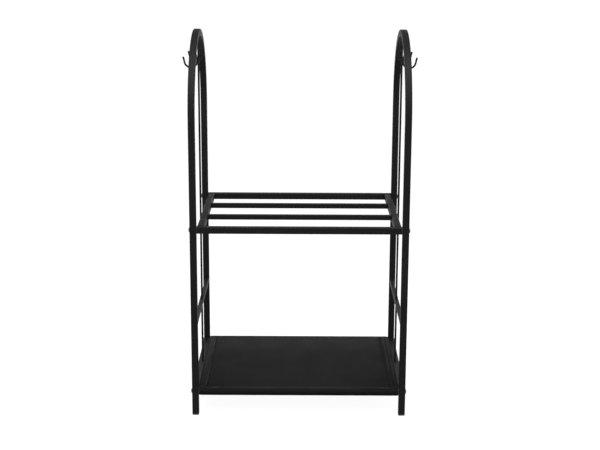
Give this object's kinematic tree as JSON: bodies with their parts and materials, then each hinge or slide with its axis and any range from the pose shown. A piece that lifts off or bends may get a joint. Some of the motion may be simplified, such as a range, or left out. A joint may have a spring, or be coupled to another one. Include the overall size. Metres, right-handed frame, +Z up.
{
  "type": "valet stand",
  "caption": "Free-standing arched stand of square tube with a slatted luggage shelf, a fabric-covered lower shelf and wire hooks under the arches.",
  "frame": {"origin": "centre of the footprint on the floor", "axes": "+X to the right, +Y to the back, +Z up"},
  "size_m": [0.5574, 0.4016, 0.912],
  "materials": {
    "frame_coat": "fine-textured matt black powder coat",
    "shelf_fabric": "matt black plain-woven polyester",
    "bolt_black": "satin black oxide",
    "plug_plastic": "moulded black nylon with a cut thread",
    "foot_plastic": "moulded matt black plastic"
  },
  "bodies": {
    "root": {"left_arch_tube": "frame_coat", "right_arch_tube": "frame_coat", "left_brace": "frame_coat", "right_brace": "frame_coat", "left_bottom_rail": "frame_coat", "right_bottom_rail": "frame_coat", "left_rod": "frame_coat", "right_rod": "frame_coat", "left_front_hook": "frame_coat", "left_back_hook": "frame_coat", "right_front_hook": "frame_coat", "right_back_hook": "frame_coat", "upper_shelf_front_rail": "frame_coat", "upper_shelf_back_rail": "frame_coat", "upper_shelf_left_rail": "frame_coat", "upper_shelf_right_rail": "frame_coat", "upper_shelf_front_slat": "frame_coat", "upper_shelf_back_slat": "frame_coat", "lower_shelf_front_rail": "frame_coat", "lower_shelf_back_rail": "frame_coat", "lower_shelf_left_rail": "frame_coat", "lower_shelf_right_rail": "frame_coat", "lower_shelf_fabric": "shelf_fabric", "upper_shelf_bolts": "bolt_black", "lower_shelf_bolts": "bolt_black", "upper_shelf_end_plugs": "plug_plastic", "lower_shelf_end_plugs": "plug_plastic", "front_left_foot": "foot_plastic", "front_right_foot": "foot_plastic", "back_left_foot": "foot_plastic", "back_right_foot": "foot_plastic"}
  },
  "joints": []
}
